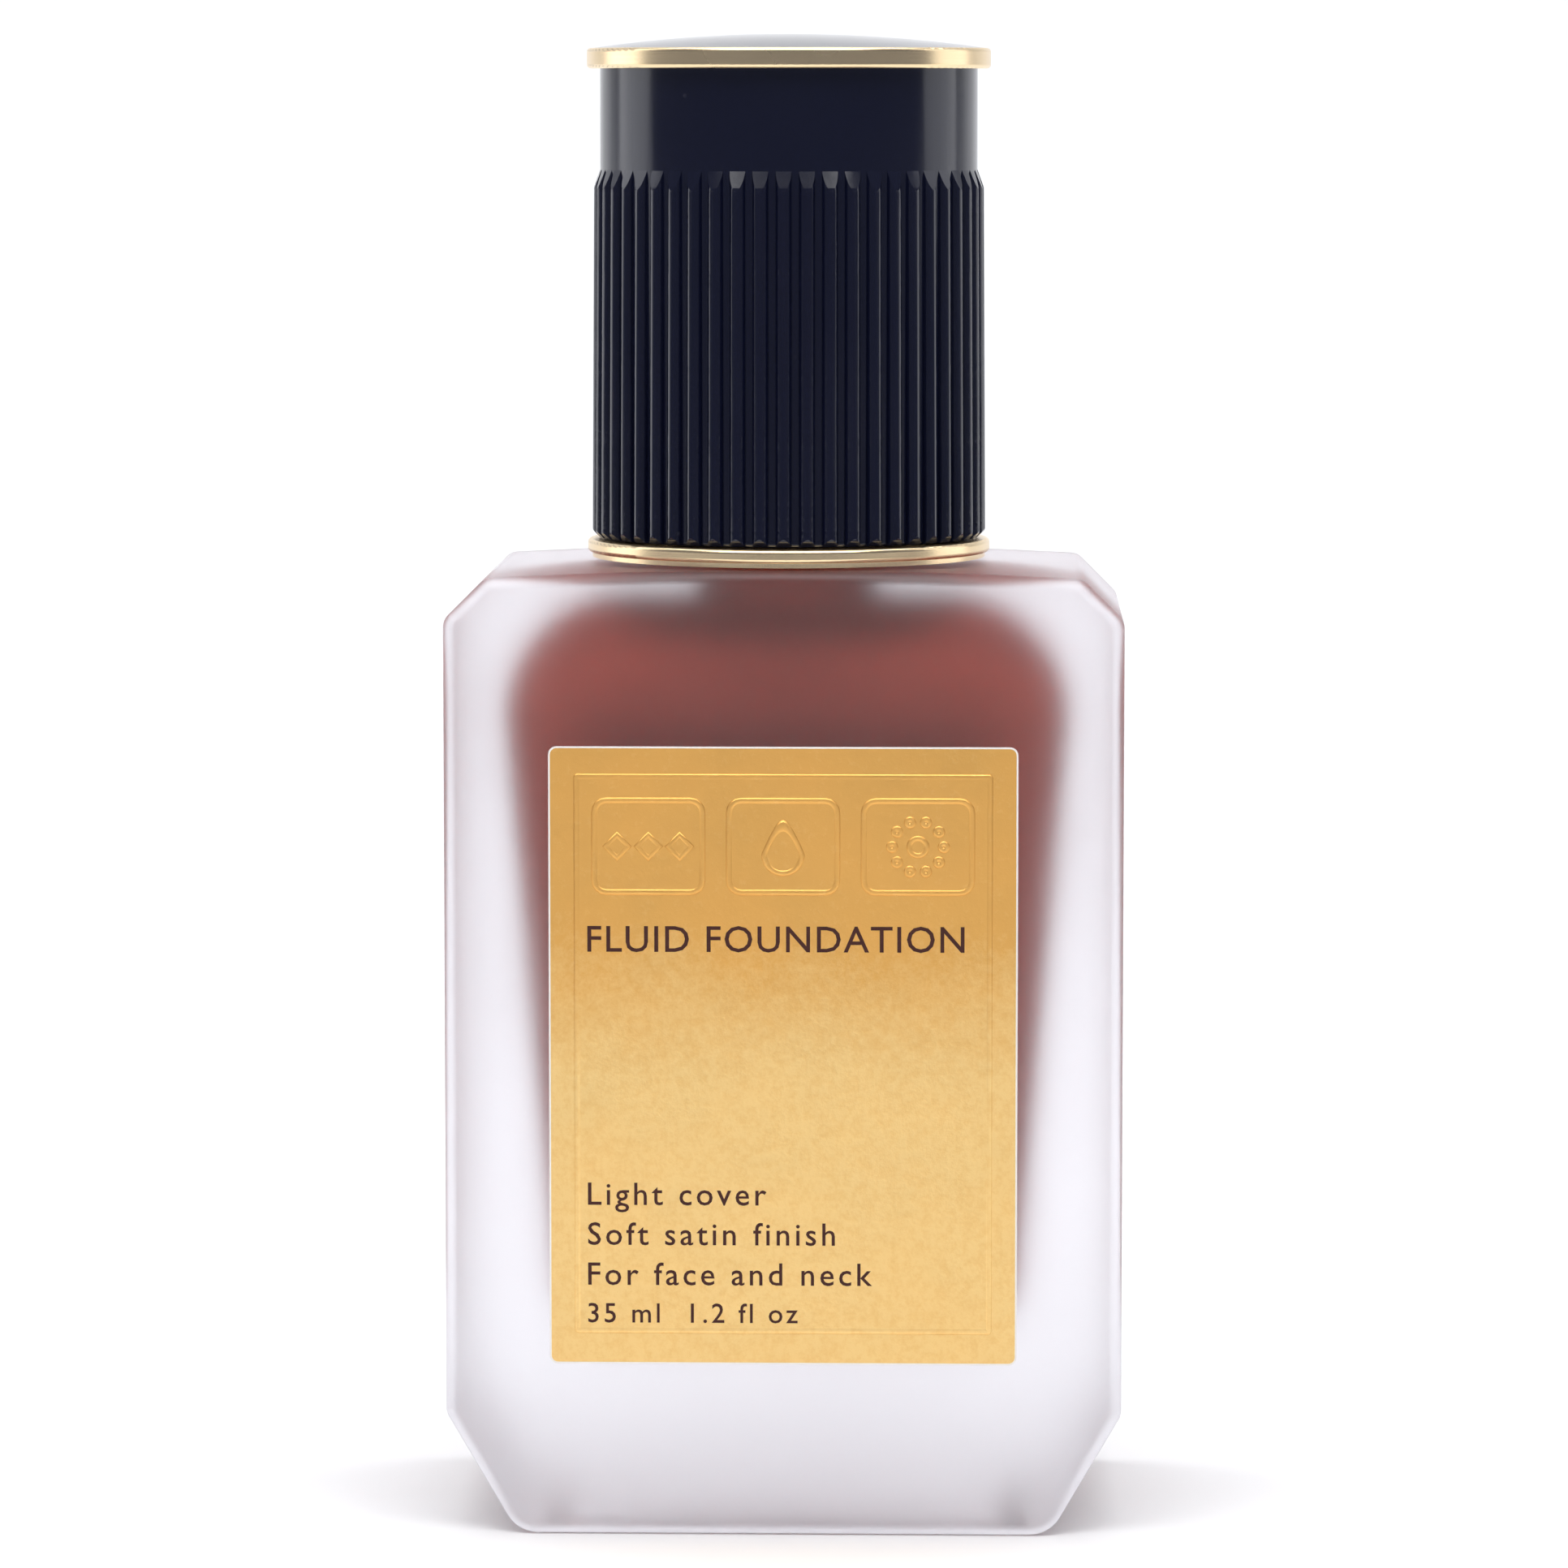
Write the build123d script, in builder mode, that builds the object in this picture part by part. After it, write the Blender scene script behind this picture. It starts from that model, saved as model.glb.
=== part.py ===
from build123d import *
from math import radians, tan
import os

# Liquid make-up bottle: a heavy glass bottle, a screw-on dispensing pump and a ribbed overcap.
#
# Frame: millimetres, +Z up, origin at the centre of the foot that the bottle stands on, with the
# labelled face towards -Y. Heights above the glass are counted from the rim of the neck, and radii
# above the glass are counted outwards from the neck, so a change to the bottle carries the pump and
# the overcap with it.

os.makedirs("parts", exist_ok=True)

# ------------------------------------------------------------------ glass bottle
body_width = 50.0
body_depth = 31.0
body_height = 71.0  # foot to the corners of the shoulder
shoulder_crown = 0.6  # rise of the shoulder from those corners to the neck
top_chamfer = 3.1  # 45 degree cut at the two top corners
foot_chamfer_width = 5.25
foot_chamfer_height = 9.0
corner_round = 1.3
foot_round = 2.6
edge_round = 0.9  # along the front and back outlines
foot_land = 3.5  # flat rim that the bottle stands on, around the push-up
push_up = 0.5

side_wall = 8.0  # at the floor of the cavity
face_wall = 8.0  # at the floor of the cavity
base_glass = 13.0  # heavy foot under the cavity
shoulder_glass = 2.2
cavity_flare = 5.0  # degrees each side, wider towards the shoulder
air_space = 8.4  # in the neck, above the liquid

# ------------------------------------------------------------------ neck finish
neck_height = 11.4
neck_radius = 8.9
neck_bore = 6.75
rim_round = 0.6
thread_depth = 0.9
thread_pitch = 3.175
thread_turns = 1.5
thread_root_width = 1.7
thread_crest_width = 0.8
thread_root_sink = 0.3  # how far a ridge reaches into the wall that it stands on
thread_below_rim = 2.9  # centre of the last turn, below the rim
bead_depth = 0.5
bead_height = 1.0
bead_round = 0.3
bead_below_thread = 2.2

# ------------------------------------------------------------------ clearances
running_gap = 0.05  # radial, of every sliding or turning fit
seat_gap = 0.02  # between faces that rest on each other across a joint
thread_gap = 0.25  # radial, between the neck and the closure
flank_gap = 0.15  # axial, between the loaded flanks of the two threads
liquid_gap = 0.05

# ------------------------------------------------------------------ pump housing
gasket_thickness = 0.8
flange_overlap = 0.4  # flange beyond the neck
flange_thickness = 1.0
barrel_bore = 3.6
barrel_wall = 1.0
barrel_depth = 17.8  # rim to the ledge that the spring stands on
ledge_thickness = 0.6
tower_height = 3.2  # housing above its flange
tower_wall = 1.4
lock_flange = 0.8
shoulder_travel_room = 1.6  # from the shoulder of the stem to the lock ring
vent_radius = 0.35

ball_radius = 1.5
ball_lift = 0.8
ball_seat_bore = 0.9
ball_top_gap = 0.3
cage_gap = 0.4
cage_wall = 1.0
cage_mouth = 1.0
cage_slot_width = 0.8
socket_wall = 0.9
socket_length = 5.0
socket_floor = 0.8
tube_radius = 1.5
tube_bore = 0.85
tube_to_floor = 1.5  # foot of the dip tube above the floor of the cavity

# ------------------------------------------------------------------ plunger
stroke = 4.2
piston_slip = 0.9  # lost motion that opens the ports of the stem
piston_length = 3.8
piston_lip = 0.9
piston_waist = 0.35
stem_radius = 2.2
stem_bore = 1.15
port_radius = 0.3
post_clear = 0.7  # between the head of the post and the barrel
post_head = 1.0
post_rod_length = 3.0
post_flat = 0.65  # half width across the flats of the rod
pin_clear = 0.33  # between the guide pin and the spring
pin_end_gap = 0.4  # below the guide pin at the end of the stroke
spring_length = 7.5
spring_turns = 5
spring_wire = 0.44
spring_clear = 0.73  # between the spring and the barrel

# ------------------------------------------------------------------ closure, collar and ring
closure_wall = 1.25
closure_top = 1.2
closure_thread_turns = 1.2
closure_thread_lead = 120.0  # degrees from the start of the thread of the neck
collar_wall = 0.45
collar_round = 1.2
ring_rebate = 0.9  # the closure and the collar stand in the ring this deep
tower_gap = 0.25
ring_beyond_cap = 0.98
ring_thickness = 1.35
ring_above_glass = 0.15
ring_lip = 0.35
ring_round = 0.3

# ------------------------------------------------------------------ actuator
actuator_gap = 0.4  # above the collar at the end of the stroke
actuator_height = 10.0
actuator_clear = 1.45  # around the tower
sleeve_wall = 0.45
sleeve_round = 1.0
core_wall = 1.1
core_top = 1.6
dish_depth = 0.5
boss_wall = 1.85
boss_gap = 0.4  # above the lock ring at the end of the stroke
channel_radius = 0.8
spout_radius = 1.9
spout_below_top = 3.7
spout_hole_gap = 0.1
tip_to_cap = 1.4  # end of the spout to the inside of the overcap
tip_radius = 1.25
tip_length = 2.0
tip_bore = 0.5
tip_proud = 0.6
tip_round = 0.25

# ------------------------------------------------------------------ overcap
cap_gap = 0.23  # radial, between the collar and the liner
headspace = 4.91  # above the actuator
liner_wall = 0.85
liner_top = 0.9
liner_lift = 0.8  # lower edge of the liner above that of the shell
grip_count = 8
grip_foot = 2.0  # above the edge of the liner
grip_length = 6.0
grip_width = 1.6
overcap_wall = 1.29
overcap_deck = 1.3
overcap_above_ring = 0.1
rib_count = 52
rib_width = 1.2
rib_crest_foot = 0.65  # rib above the smooth band, at the foot
rib_crest_head = 0.48  # and at the head
rib_start = 0.05
rib_run_out = 1.4
rib_end_rise = 0.5
rib_end_round = 0.6
smooth_band = 7.5
shell_round = 0.25
rim_beyond_cap = 0.99
rim_thickness = 1.53
rim_floor = 0.6
rim_round_outer = 0.3
rim_lip = 0.33
deck_boss_inset = 2.1
disc_crown = 1.05

# ------------------------------------------------------------------ label
label_width = 34.5
label_height = 45.85
label_foot = 12.85
label_thickness = 0.12
label_corner = 0.6

# ------------------------------------------------------------------ derived heights
shoulder_z = body_height + shoulder_crown
rim_z = shoulder_z + neck_height
thread_z = rim_z - thread_below_rim - thread_pitch * thread_turns
bead_z = thread_z - bead_below_thread
cavity_top = shoulder_z - shoulder_glass
fill_z = rim_z - air_space

gasket_z = rim_z + seat_gap
flange_z = gasket_z + gasket_thickness
flange_top = flange_z + flange_thickness
tower_top = flange_top + tower_height
lock_top = tower_top + lock_flange
ledge_z = rim_z - barrel_depth
cage_top = ledge_z - ledge_thickness
seat_lift = (ball_radius**2 - ball_seat_bore**2) ** 0.5
ball_z = cage_top - ball_top_gap - ball_lift - ball_radius
seat_z = ball_z - seat_lift - seat_gap
socket_top = seat_z - socket_floor
socket_z = socket_top - socket_length

post_z = ledge_z + spring_length
post_top = post_z + post_head
piston_z = post_top + seat_gap
piston_top = piston_z + piston_length
stem_shoulder = piston_top + piston_slip + seat_gap
lock_z = stem_shoulder + shoulder_travel_room
pin_length = spring_length - stroke - pin_end_gap

closure_seat = flange_top + seat_gap
closure_head = closure_seat + closure_top
collar_top = closure_head + collar_wall
ring_z = shoulder_z + ring_above_glass
ring_top = ring_z + ring_thickness
ring_seat = ring_top - ring_rebate

actuator_z = collar_top + stroke + actuator_gap
actuator_top = actuator_z + actuator_height
core_head = actuator_top - sleeve_wall
core_ceiling = core_head - dish_depth - core_top
boss_z = lock_top + stroke + boss_gap
spout_z = actuator_top - spout_below_top
stem_top = spout_z - channel_radius

cap_z = ring_top + overcap_above_ring
liner_z = cap_z + liner_lift
liner_ceiling = actuator_top + headspace
liner_head = liner_ceiling + liner_top
deck_z = liner_head + overcap_deck
rib_head = deck_z - smooth_band
disc_z = deck_z + rim_floor
rim_top = deck_z + rim_thickness

# ------------------------------------------------------------------ derived widths and radii
shoulder_x = body_width / 2 - top_chamfer
foot_x = body_width / 2 - foot_chamfer_width
cavity_width = body_width - 2 * side_wall
cavity_depth = body_depth - 2 * face_wall
cavity_corner = 0.4 * cavity_depth
cavity_foot_round = 0.35 * cavity_depth
cavity_spread = (cavity_top - base_glass) * tan(radians(cavity_flare))
cavity_top_round = 0.85 * (cavity_corner + cavity_spread)

crest_radius = neck_radius + thread_depth
flange_radius = neck_radius + flange_overlap
barrel_outer = barrel_bore + barrel_wall
tower_radius = barrel_bore + tower_wall
cage_radius = ball_radius + cage_gap
cage_outer = cage_radius + cage_wall
socket_outer = tube_radius + socket_wall
spring_radius = barrel_bore - spring_clear - spring_wire / 2
post_radius = barrel_bore - post_clear
piston_radius = barrel_bore - running_gap
pin_radius = spring_radius - spring_wire / 2 - pin_clear

closure_inner = crest_radius + thread_gap
closure_outer = closure_inner + closure_wall
collar_outer = closure_outer + collar_wall
tower_hole = tower_radius + tower_gap
core_bore = tower_radius + actuator_clear
core_radius = core_bore + core_wall
sleeve_radius = core_radius + sleeve_wall
boss_radius = stem_radius + running_gap + boss_wall
core_round = sleeve_round - sleeve_wall
dish_radius = core_radius - sleeve_round
dish_sphere = (dish_radius**2 + dish_depth**2) / (2 * dish_depth)

liner_inner = collar_outer + cap_gap
liner_outer = liner_inner + liner_wall
smooth_radius = liner_outer + overcap_wall
ring_radius = smooth_radius + ring_beyond_cap
rim_radius = smooth_radius + rim_beyond_cap
deck_boss = smooth_radius - deck_boss_inset
disc_radius = rim_radius - rim_lip
disc_sphere = (disc_radius**2 + disc_crown**2) / (2 * disc_crown)
spout_reach = liner_inner - tip_to_cap
crest_foot_radius = smooth_radius + rib_crest_foot
crest_head_radius = smooth_radius + rib_crest_head

# one profile serves both threads: the closure's ridge lies under the neck's by this much
flank_slope = (thread_root_width - thread_crest_width) / 2 / thread_depth
thread_drop = (thread_root_width + thread_crest_width) / 2 - flank_slope * thread_gap + flank_gap


def section(inner, outer, foot, top, mode=Mode.ADD):
    """Half section of a plain ring, for turning about Z."""
    Polygon((inner, foot), (outer, foot), (outer, top), (inner, top), align=None, mode=mode)


# ------------------------------------------------------------------ bottle
with BuildPart() as cavity:
    with BuildSketch(Plane.XY.offset(base_glass)):
        RectangleRounded(cavity_width, cavity_depth, cavity_corner)
    extrude(amount=cavity_top - base_glass, taper=-cavity_flare)
    fillet(cavity.faces().sort_by(Axis.Z)[0].edges(), radius=cavity_foot_round)
    fillet(cavity.faces().sort_by(Axis.Z)[-1].edges(), radius=cavity_top_round)
    with BuildSketch(Plane.XY.offset(cavity_top - cavity_top_round)):
        Circle(neck_bore)
    extrude(amount=rim_z - cavity_top + cavity_top_round)

with BuildPart() as neck_thread:
    with BuildLine() as neck_path:
        Helix(
            pitch=thread_pitch,
            height=thread_pitch * thread_turns,
            radius=neck_radius,
            center=(0, 0, thread_z),
        )
    with BuildSketch(Plane.XZ):
        Polygon(
            (neck_radius - thread_root_sink, thread_z - thread_root_width / 2),
            (neck_radius, thread_z - thread_root_width / 2),
            (crest_radius, thread_z - thread_crest_width / 2),
            (crest_radius, thread_z + thread_crest_width / 2),
            (neck_radius, thread_z + thread_root_width / 2),
            (neck_radius - thread_root_sink, thread_z + thread_root_width / 2),
            align=None,
        )
    sweep(path=neck_path.line, is_frenet=True)

with BuildPart() as glass_bottle:
    with BuildSketch(Plane.XZ):
        with BuildLine():
            Polyline(
                (-shoulder_x, body_height),
                (-body_width / 2, body_height - top_chamfer),
                (-body_width / 2, foot_chamfer_height),
                (-foot_x, 0),
                (foot_x, 0),
                (body_width / 2, foot_chamfer_height),
                (body_width / 2, body_height - top_chamfer),
                (shoulder_x, body_height),
            )
            ThreePointArc((shoulder_x, body_height), (0, shoulder_z), (-shoulder_x, body_height))
        make_face()
        fillet(vertices().group_by(Axis.Y)[0], radius=foot_round)
        upper_corners = vertices().filter_by_position(Axis.Y, foot_chamfer_height - 0.01, shoulder_z)
        fillet(upper_corners, radius=corner_round)
    extrude(amount=body_depth / 2, both=True)
    fillet(glass_bottle.faces().filter_by(Axis.Y).edges(), radius=edge_round)
    with BuildSketch():
        RectangleRounded(2 * (foot_x - foot_land), body_depth - 2 * foot_land, foot_land)
    extrude(amount=push_up, taper=30, mode=Mode.SUBTRACT)
    with BuildSketch(Plane.XZ):
        section(0, neck_radius, cavity_top, rim_z)
    revolve(axis=Axis.Z)
    fillet(glass_bottle.faces().sort_by(Axis.Z)[-1].edges(), radius=rim_round)
    with BuildSketch(Plane.XZ):
        section(
            neck_radius - bead_depth,
            neck_radius + bead_depth,
            bead_z - bead_height / 2,
            bead_z + bead_height / 2,
        )
        fillet(vertices().group_by(Axis.X)[-1], radius=bead_round)
    revolve(axis=Axis.Z)
    add(neck_thread.part)
    add(cavity.part, mode=Mode.SUBTRACT)
glass_bottle.part.label = "glass_bottle"
export_step(glass_bottle.part, "parts/glass_bottle.step")

with BuildPart() as foundation_liquid:
    add(cavity.part)
    split(bisect_by=Plane.XY.offset(fill_z), keep=Keep.BOTTOM)
    with BuildSketch(Plane.XZ):
        section(0, tube_radius + liquid_gap, base_glass + tube_to_floor - liquid_gap, rim_z)
        section(0, socket_outer + liquid_gap, socket_z - liquid_gap, rim_z)
        section(0, cage_outer + liquid_gap, seat_z - socket_floor - liquid_gap, rim_z)
        section(0, barrel_outer + liquid_gap, cage_top - liquid_gap, rim_z)
    revolve(axis=Axis.Z, mode=Mode.SUBTRACT)
foundation_liquid.part.label = "foundation_liquid"
export_step(foundation_liquid.part, "parts/foundation_liquid.step")

with BuildPart() as front_label:
    with BuildSketch(Plane.XZ.offset(body_depth / 2)):
        with Locations((0, label_foot + label_height / 2)):
            RectangleRounded(label_width, label_height, label_corner)
    extrude(amount=label_thickness)
front_label.part.label = "front_label"
export_step(front_label.part, "parts/front_label.step")

# ------------------------------------------------------------------ pump
with BuildPart() as pump_housing:
    with BuildSketch(Plane.XZ):
        section(0, socket_outer, socket_z, cage_top)
        section(0, cage_outer, socket_top, ledge_z)
        section(0, barrel_outer, cage_top, flange_top)
        section(0, flange_radius, flange_z, flange_top)
        section(0, tower_radius, flange_top, tower_top)
    revolve(axis=Axis.Z)
    with BuildSketch(Plane.XZ):
        section(0, tube_radius, socket_z, socket_top)
        section(0, ball_seat_bore, socket_top, cage_top)
        section(0, cage_radius, seat_z, cage_top)
        section(0, cage_mouth, cage_top, ledge_z)
        section(0, barrel_bore, ledge_z, tower_top)
    revolve(axis=Axis.Z, mode=Mode.SUBTRACT)
    with BuildSketch(Plane.XY.offset(cage_top)):
        with PolarLocations(cage_radius / 2, 3):
            Rectangle(cage_radius, cage_slot_width)
    extrude(amount=ledge_thickness, mode=Mode.SUBTRACT)
    with BuildSketch(Plane.YZ):
        with Locations((0, (stem_shoulder + lock_z) / 2)):
            Circle(vent_radius)
    extrude(amount=barrel_outer, mode=Mode.SUBTRACT)
pump_housing.part.label = "pump_housing"
export_step(pump_housing.part, "parts/pump_housing.step")

with BuildPart() as pump_lock_ring:
    with BuildSketch(Plane.XZ):
        section(stem_radius + running_gap, barrel_bore, lock_z, lock_top)
        section(stem_radius + running_gap, tower_radius, tower_top, lock_top)
    revolve(axis=Axis.Z)
    chamfer(pump_lock_ring.faces().sort_by(Axis.Z)[-1].edges(), length=0.2)
pump_lock_ring.part.label = "pump_lock_ring"
export_step(pump_lock_ring.part, "parts/pump_lock_ring.step")

with BuildPart() as neck_gasket:
    with BuildSketch(Plane.XZ):
        section(barrel_outer, flange_radius, gasket_z, flange_z)
    revolve(axis=Axis.Z)
neck_gasket.part.label = "neck_gasket"
export_step(neck_gasket.part, "parts/neck_gasket.step")

with BuildPart() as dip_tube:
    with BuildSketch(Plane.XZ):
        section(tube_bore, tube_radius, base_glass + tube_to_floor, socket_top)
    revolve(axis=Axis.Z)
dip_tube.part.label = "dip_tube"
export_step(dip_tube.part, "parts/dip_tube.step")

with BuildPart() as inlet_ball:
    with Locations((0, 0, ball_z)):
        Sphere(ball_radius)
inlet_ball.part.label = "inlet_ball"
export_step(inlet_ball.part, "parts/inlet_ball.step")

with BuildPart() as return_spring:
    with BuildLine() as spring_path:
        Helix(
            pitch=(spring_length - spring_wire - 2 * seat_gap) / spring_turns,
            height=spring_length - spring_wire - 2 * seat_gap,
            radius=spring_radius,
            center=(0, 0, ledge_z + seat_gap + spring_wire / 2),
        )
    with BuildSketch(Plane(spring_path.line @ 0, z_dir=spring_path.line % 0)):
        Circle(spring_wire / 2)
    sweep(path=spring_path.line, is_frenet=True)
return_spring.part.label = "return_spring"
export_step(return_spring.part, "parts/return_spring.step")

with BuildPart() as stem_post:
    with BuildSketch(Plane.XZ):
        section(0, pin_radius, post_z - pin_length, post_z)
        section(0, post_radius, post_z, post_top)
    revolve(axis=Axis.Z)
    with BuildSketch(Plane.XY.offset(post_top)):
        Circle(stem_bore)
        Rectangle(2 * post_flat, 2 * stem_bore, mode=Mode.INTERSECT)
    extrude(amount=post_rod_length)
    chamfer(stem_post.faces().sort_by(Axis.Z)[0].edges(), length=0.4)
stem_post.part.label = "stem_post"
export_step(stem_post.part, "parts/stem_post.step")

with BuildPart() as pump_stem:
    with BuildSketch(Plane.XZ):
        section(stem_bore, stem_radius, post_top, stem_top)
        section(stem_bore, post_radius, stem_shoulder, lock_z - seat_gap)
    revolve(axis=Axis.Z)
    with BuildSketch(Plane.YZ):
        with Locations((0, post_top + piston_slip / 2)):
            Circle(port_radius)
    extrude(amount=stem_radius, both=True, mode=Mode.SUBTRACT)
pump_stem.part.label = "pump_stem"
export_step(pump_stem.part, "parts/pump_stem.step")

with BuildPart() as pump_piston:
    with BuildSketch(Plane.XZ):
        section(stem_radius + running_gap, piston_radius, piston_z, piston_top)
        section(
            piston_radius - piston_waist,
            piston_radius,
            piston_z + piston_lip,
            piston_top - piston_lip,
            mode=Mode.SUBTRACT,
        )
    revolve(axis=Axis.Z)
pump_piston.part.label = "pump_piston"
export_step(pump_piston.part, "parts/pump_piston.step")

# ------------------------------------------------------------------ closure
with BuildPart() as closure_thread:
    closure_thread_z = thread_z + thread_pitch * closure_thread_lead / 360 - thread_drop
    with BuildLine() as closure_path:
        Helix(
            pitch=thread_pitch,
            height=thread_pitch * closure_thread_turns,
            radius=closure_inner,
            center=(0, 0, closure_thread_z),
        )
    with BuildSketch(Plane.XZ):
        Polygon(
            (closure_inner + thread_root_sink, closure_thread_z - thread_root_width / 2),
            (closure_inner, closure_thread_z - thread_root_width / 2),
            (closure_inner - thread_depth, closure_thread_z - thread_crest_width / 2),
            (closure_inner - thread_depth, closure_thread_z + thread_crest_width / 2),
            (closure_inner, closure_thread_z + thread_root_width / 2),
            (closure_inner + thread_root_sink, closure_thread_z + thread_root_width / 2),
            align=None,
        )
    sweep(path=closure_path.line, is_frenet=True)

with BuildPart() as screw_closure:
    with BuildSketch(Plane.XZ):
        section(closure_inner, closure_outer, ring_seat, closure_head)
        section(tower_hole, closure_outer, closure_seat, closure_head)
    revolve(axis=Axis.Z)
    top_rim = screw_closure.edges().group_by(Axis.Z)[-1].sort_by(SortBy.RADIUS)[-1]
    fillet(top_rim, radius=collar_round - collar_wall)
    add(closure_thread.part.rotate(Axis.Z, closure_thread_lead))
screw_closure.part.label = "screw_closure"
export_step(screw_closure.part, "parts/screw_closure.step")

with BuildPart() as collar_shell:
    with BuildSketch(Plane.XZ):
        section(closure_outer, collar_outer, ring_seat, collar_top)
        section(tower_hole, collar_outer, closure_head, collar_top)
    revolve(axis=Axis.Z)
    outer_rim = collar_shell.edges().group_by(Axis.Z)[-1].sort_by(SortBy.RADIUS)[-1]
    fillet(outer_rim, radius=collar_round)
    ceiling = collar_shell.edges().filter_by_position(Axis.Z, closure_head - 0.01, closure_head + 0.01)
    fillet(ceiling.sort_by(SortBy.RADIUS)[-1], radius=collar_round - collar_wall)
collar_shell.part.label = "collar_shell"
export_step(collar_shell.part, "parts/collar_shell.step")

with BuildPart() as shoulder_ring:
    with BuildSketch(Plane.XZ):
        section(closure_inner, ring_radius - ring_lip, ring_z, ring_seat)
        section(collar_outer, ring_radius, ring_z + ring_lip, ring_top)
        fillet(vertices().group_by(Axis.X)[-1], radius=ring_round)
    revolve(axis=Axis.Z)
shoulder_ring.part.label = "shoulder_ring"
export_step(shoulder_ring.part, "parts/shoulder_ring.step")

# ------------------------------------------------------------------ actuator
with BuildPart() as core_blank:
    with BuildSketch(Plane.XZ):
        section(0, core_radius, actuator_z, core_head)
        with Locations((0, core_head - dish_depth + dish_sphere)):
            Circle(dish_sphere, mode=Mode.SUBTRACT)
    revolve(axis=Axis.Z)
    fillet(core_blank.edges().group_by(Axis.Z)[-1].sort_by(SortBy.RADIUS)[-1], radius=core_round)

with BuildPart() as actuator_core:
    add(core_blank.part)
    with BuildSketch(Plane.XZ):
        section(0, core_bore, actuator_z, core_ceiling)
    revolve(axis=Axis.Z, mode=Mode.SUBTRACT)
    with BuildSketch(Plane.XZ):
        section(0, boss_radius, boss_z, core_ceiling)
    revolve(axis=Axis.Z)
    with BuildSketch(Plane.XZ):
        with Locations((0, spout_z)):
            Circle(spout_radius)
    extrude(amount=spout_reach - tip_proud)
    with BuildSketch(Plane.XZ):
        section(0, stem_radius + running_gap, boss_z, stem_top + seat_gap)
        section(0, stem_bore, stem_top, spout_z)
    revolve(axis=Axis.Z, mode=Mode.SUBTRACT)
    with BuildSketch(Plane.XZ):
        with Locations((0, spout_z)):
            Circle(channel_radius)
    extrude(amount=spout_reach, mode=Mode.SUBTRACT)
    with BuildSketch(Plane.XZ.offset(spout_reach - tip_length)):
        with Locations((0, spout_z)):
            Circle(tip_radius)
    extrude(amount=tip_length, mode=Mode.SUBTRACT)
actuator_core.part.label = "actuator_core"
export_step(actuator_core.part, "parts/actuator_core.step")

with BuildPart() as actuator_sleeve:
    with BuildSketch(Plane.XZ):
        section(0, sleeve_radius, actuator_z, actuator_top)
        with Locations((0, actuator_top - dish_depth + dish_sphere)):
            Circle(dish_sphere, mode=Mode.SUBTRACT)
    revolve(axis=Axis.Z)
    crown = actuator_sleeve.edges().group_by(Axis.Z)[-1].sort_by(SortBy.RADIUS)[-1]
    fillet(crown, radius=sleeve_round)
    add(core_blank.part, mode=Mode.SUBTRACT)
    with BuildSketch(Plane.XZ):
        with Locations((0, spout_z)):
            Circle(spout_radius + spout_hole_gap)
    extrude(amount=sleeve_radius, mode=Mode.SUBTRACT)
actuator_sleeve.part.label = "actuator_sleeve"
export_step(actuator_sleeve.part, "parts/actuator_sleeve.step")

with BuildPart() as spout_tip:
    with BuildSketch(Plane.XZ.offset(spout_reach - tip_length)):
        with Locations((0, spout_z)):
            Circle(tip_radius)
    extrude(amount=tip_length)
    with BuildSketch(Plane.XZ.offset(spout_reach - tip_proud)):
        with Locations((0, spout_z)):
            Circle(spout_radius)
    extrude(amount=tip_proud)
    fillet(spout_tip.faces().sort_by(Axis.Y)[0].edges(), radius=tip_round)
    with BuildSketch(Plane.XZ.offset(spout_reach - tip_length)):
        with Locations((0, spout_z)):
            Circle(tip_bore)
    extrude(amount=tip_length, mode=Mode.SUBTRACT)
spout_tip.part.label = "spout_tip"
export_step(spout_tip.part, "parts/spout_tip.step")

# ------------------------------------------------------------------ overcap
with BuildPart() as cap_rib:
    with BuildSketch(Plane.XY.offset(cap_z + rib_start)):
        with Locations((crest_foot_radius - rib_width / 2, 0)):
            Circle(rib_width / 2)
    with BuildSketch(Plane.XY.offset(rib_head)):
        with Locations((crest_head_radius - rib_width / 2, 0)):
            Circle(rib_width / 2)
    loft()
    with BuildSketch(Plane.XZ):
        Polygon(
            (smooth_radius - overcap_wall / 2, cap_z + rib_start),
            (smooth_radius + rib_crest_head / 3, cap_z + rib_start),
            (crest_foot_radius + seat_gap, cap_z + rib_start + rib_end_rise),
            (crest_head_radius + seat_gap, rib_head - rib_run_out),
            (smooth_radius, rib_head),
            (smooth_radius - overcap_wall / 2, rib_head),
            align=None,
        )
        fillet(vertices().group_by(Axis.X)[-1], radius=rib_end_round)
        run_out = vertices().filter_by_position(Axis.Y, rib_head - rib_run_out - 0.01, rib_head - 0.1)
        fillet(run_out, radius=2 * rib_end_round)
    revolve(axis=Axis.Z, mode=Mode.INTERSECT)

with BuildPart() as overcap_shell:
    with BuildSketch(Plane.XZ):
        section(liner_outer, smooth_radius, cap_z, deck_z)
        fillet(vertices().group_by(Axis.Y)[0].sort_by(Axis.X)[-1], radius=shell_round)
        section(0, smooth_radius, liner_head, deck_z)
        section(0, deck_boss, deck_z, disc_z)
    revolve(axis=Axis.Z)
    with PolarLocations(0, rib_count):
        add(cap_rib.part)
overcap_shell.part.label = "overcap_shell"
export_step(overcap_shell.part, "parts/overcap_shell.step")

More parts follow.
